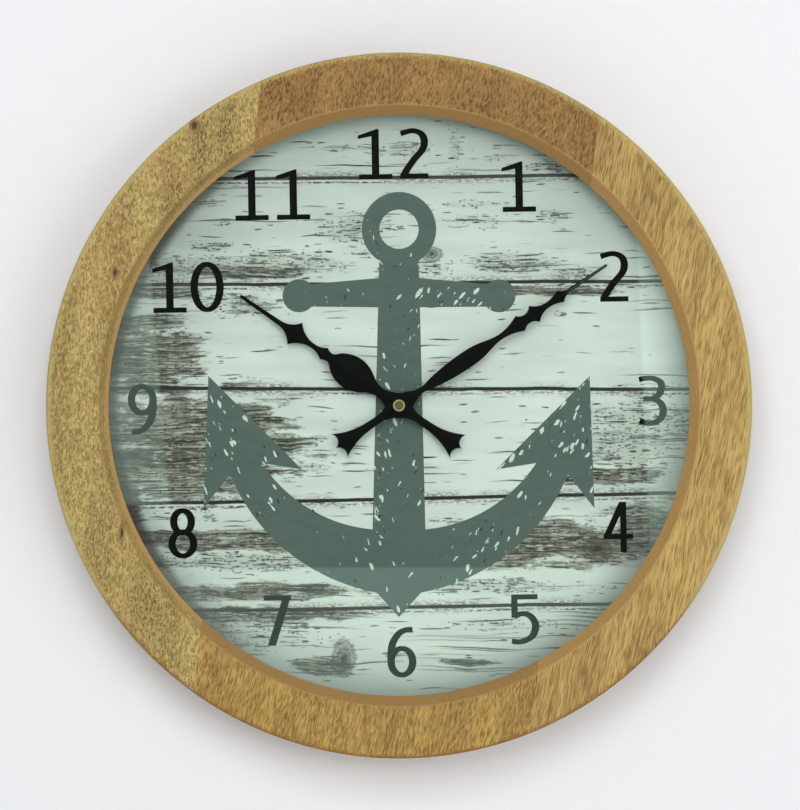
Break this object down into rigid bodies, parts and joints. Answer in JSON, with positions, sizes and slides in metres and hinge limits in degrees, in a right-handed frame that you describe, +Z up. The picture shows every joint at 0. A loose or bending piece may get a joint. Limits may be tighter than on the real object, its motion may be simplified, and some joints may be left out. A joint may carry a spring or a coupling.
{
  "type": "wall clock",
  "caption": "Round wooden-framed wall clock: glass lens, printed plank dial, ridged pressed hands and a quartz movement with its gear train, hung by a keyhole plate.",
  "frame": {"origin": "the centre of the hanger keyhole's round entry, on the wall plane", "axes": "+Z up the dial, +Y into the wall, so the dial faces -Y, and +X to the right as the dial is read"},
  "size_m": [0.356, 0.045, 0.356],
  "materials": {
    "wood_left": "oiled, open-pored hardwood",
    "wood_top": "oiled, open-pored hardwood",
    "wood_right": "oiled, open-pored hardwood",
    "wood_bottom": "oiled, open-pored hardwood",
    "lens_glass": "clear float glass",
    "spacer_board": "grey board strip",
    "dial_paper": "matt print of weathered planks",
    "dial_mdf": "sanded fibreboard",
    "zinc_steel": "zinc-plated",
    "case_plastic": "fine moulded texture",
    "knob_plastic": "moulded",
    "shaft_brass": "turned",
    "washer_rubber": "moulded",
    "black_steel": "blackened",
    "hand_paint": "satin black paint on pressed aluminium",
    "nut_brass": "turned, with a dull dished face",
    "gear_plastic": "natural moulded acetal",
    "arbor_steel": "turned",
    "magnet": "sintered ferrite",
    "soft_iron": "stamped and annealed",
    "copper_wire": "enamelled fine wire",
    "board_laminate": "circuit laminate",
    "chip_resin": "dull resin",
    "crystal_can": "drawn can",
    "cell_jacket": "plain film jacket",
    "contact_nickel": "nickel-plated strip"
  },
  "bodies": {
    "clock_body": {"frame_left_stave": "wood_left", "frame_top_stave": "wood_top", "frame_right_stave": "wood_right", "frame_bottom_stave": "wood_bottom", "glass_lens": "lens_glass", "glass_spacer_ring": "spacer_board", "dial_print": "dial_paper", "dial_board": "dial_mdf", "retaining_clips": "zinc_steel", "clip_screws": "zinc_steel", "hanger_plate": "zinc_steel", "hanger_screws": "zinc_steel", "movement_front_case": "case_plastic", "movement_back_cover": "case_plastic", "threaded_bushing": "shaft_brass", "rubber_washer": "washer_rubber", "dial_washer": "black_steel", "hex_nut": "black_steel", "wheel_bridge": "gear_plastic", "bridge_screws": "arbor_steel", "stator": "soft_iron", "coil_core": "soft_iron", "coil_winding": "copper_wire", "circuit_board": "board_laminate", "driver_chip": "chip_resin", "quartz_crystal": "crystal_can", "battery_contact_positive": "contact_nickel", "battery_contact_negative": "contact_nickel"},
    "hour_hand_assembly": {"hour_wheel": "gear_plastic", "hour_hand_collet": "shaft_brass", "hour_hand": "hand_paint"},
    "minute_hand_assembly": {"minute_arbor": "shaft_brass", "clutch_spring": "shaft_brass", "minute_hand": "hand_paint", "hand_nut": "nut_brass"},
    "motion_wheel": {"motion_wheel": "gear_plastic"},
    "setting_knob": {"setting_knob": "knob_plastic"},
    "centre_wheel": {"centre_wheel": "gear_plastic"},
    "third_wheel": {"third_wheel": "gear_plastic"},
    "second_wheel": {"second_wheel": "gear_plastic"},
    "fifth_wheel": {"fifth_wheel": "gear_plastic"},
    "rotor": {"rotor_pinion": "gear_plastic", "rotor_magnet": "magnet"},
    "battery": {"battery": "cell_jacket"}
  },
  "joints": [
    {"name": "minute_turn", "type": "hinge", "parent": "clock_body", "child": "minute_hand_assembly", "pos_m": [0, 0, -0.1656], "axis": [0, 1, 0], "continuous": true},
    {"name": "hour_turn", "type": "hinge", "parent": "clock_body", "child": "hour_hand_assembly", "pos_m": [0, 0, -0.1656], "axis": [0, 1, 0], "continuous": true},
    {"name": "motion_turn", "type": "hinge", "parent": "clock_body", "child": "motion_wheel", "pos_m": [-0.012, 0, -0.1656], "axis": [0, 1, 0], "continuous": true},
    {"name": "setting_turn", "type": "hinge", "parent": "clock_body", "child": "setting_knob", "pos_m": [-0.0161, 0, -0.15432], "axis": [0, 1, 0], "continuous": true},
    {"name": "fifth_turn", "type": "hinge", "parent": "clock_body", "child": "fifth_wheel", "pos_m": [0.01696, 0, -0.1494], "axis": [0, 1, 0], "continuous": true},
    {"name": "rotor_turn", "type": "hinge", "parent": "clock_body", "child": "rotor", "pos_m": [0.00917, 0, -0.1449], "axis": [0, 1, 0], "continuous": true},
    {"name": "second_turn", "type": "hinge", "parent": "clock_body", "child": "second_wheel", "pos_m": [0.01545, 0, -0.15802], "axis": [0, 1, 0], "continuous": true},
    {"name": "third_turn", "type": "hinge", "parent": "clock_body", "child": "third_wheel", "pos_m": [0.0054, 0, -0.15625], "axis": [0, 1, 0], "continuous": true},
    {"name": "centre_turn", "type": "hinge", "parent": "clock_body", "child": "centre_wheel", "pos_m": [0, 0, -0.1656], "axis": [0, 1, 0], "continuous": true},
    {"name": "battery_slide", "type": "slide", "parent": "clock_body", "child": "battery", "axis": [0, 1, 0], "range_m": [0, 0.025]}
  ],
  "couplings": [
    {"joint": "hour_turn", "follows": "minute_turn", "ratio": 0.083333},
    {"joint": "motion_turn", "follows": "minute_turn", "ratio": -0.33333},
    {"joint": "setting_turn", "follows": "minute_turn", "ratio": 1},
    {"joint": "rotor_turn", "follows": "fifth_turn", "ratio": -5},
    {"joint": "second_turn", "follows": "fifth_turn", "ratio": -0.16667},
    {"joint": "third_turn", "follows": "fifth_turn", "ratio": 0.022222},
    {"joint": "centre_turn", "follows": "fifth_turn", "ratio": -0.0027778}
  ]
}
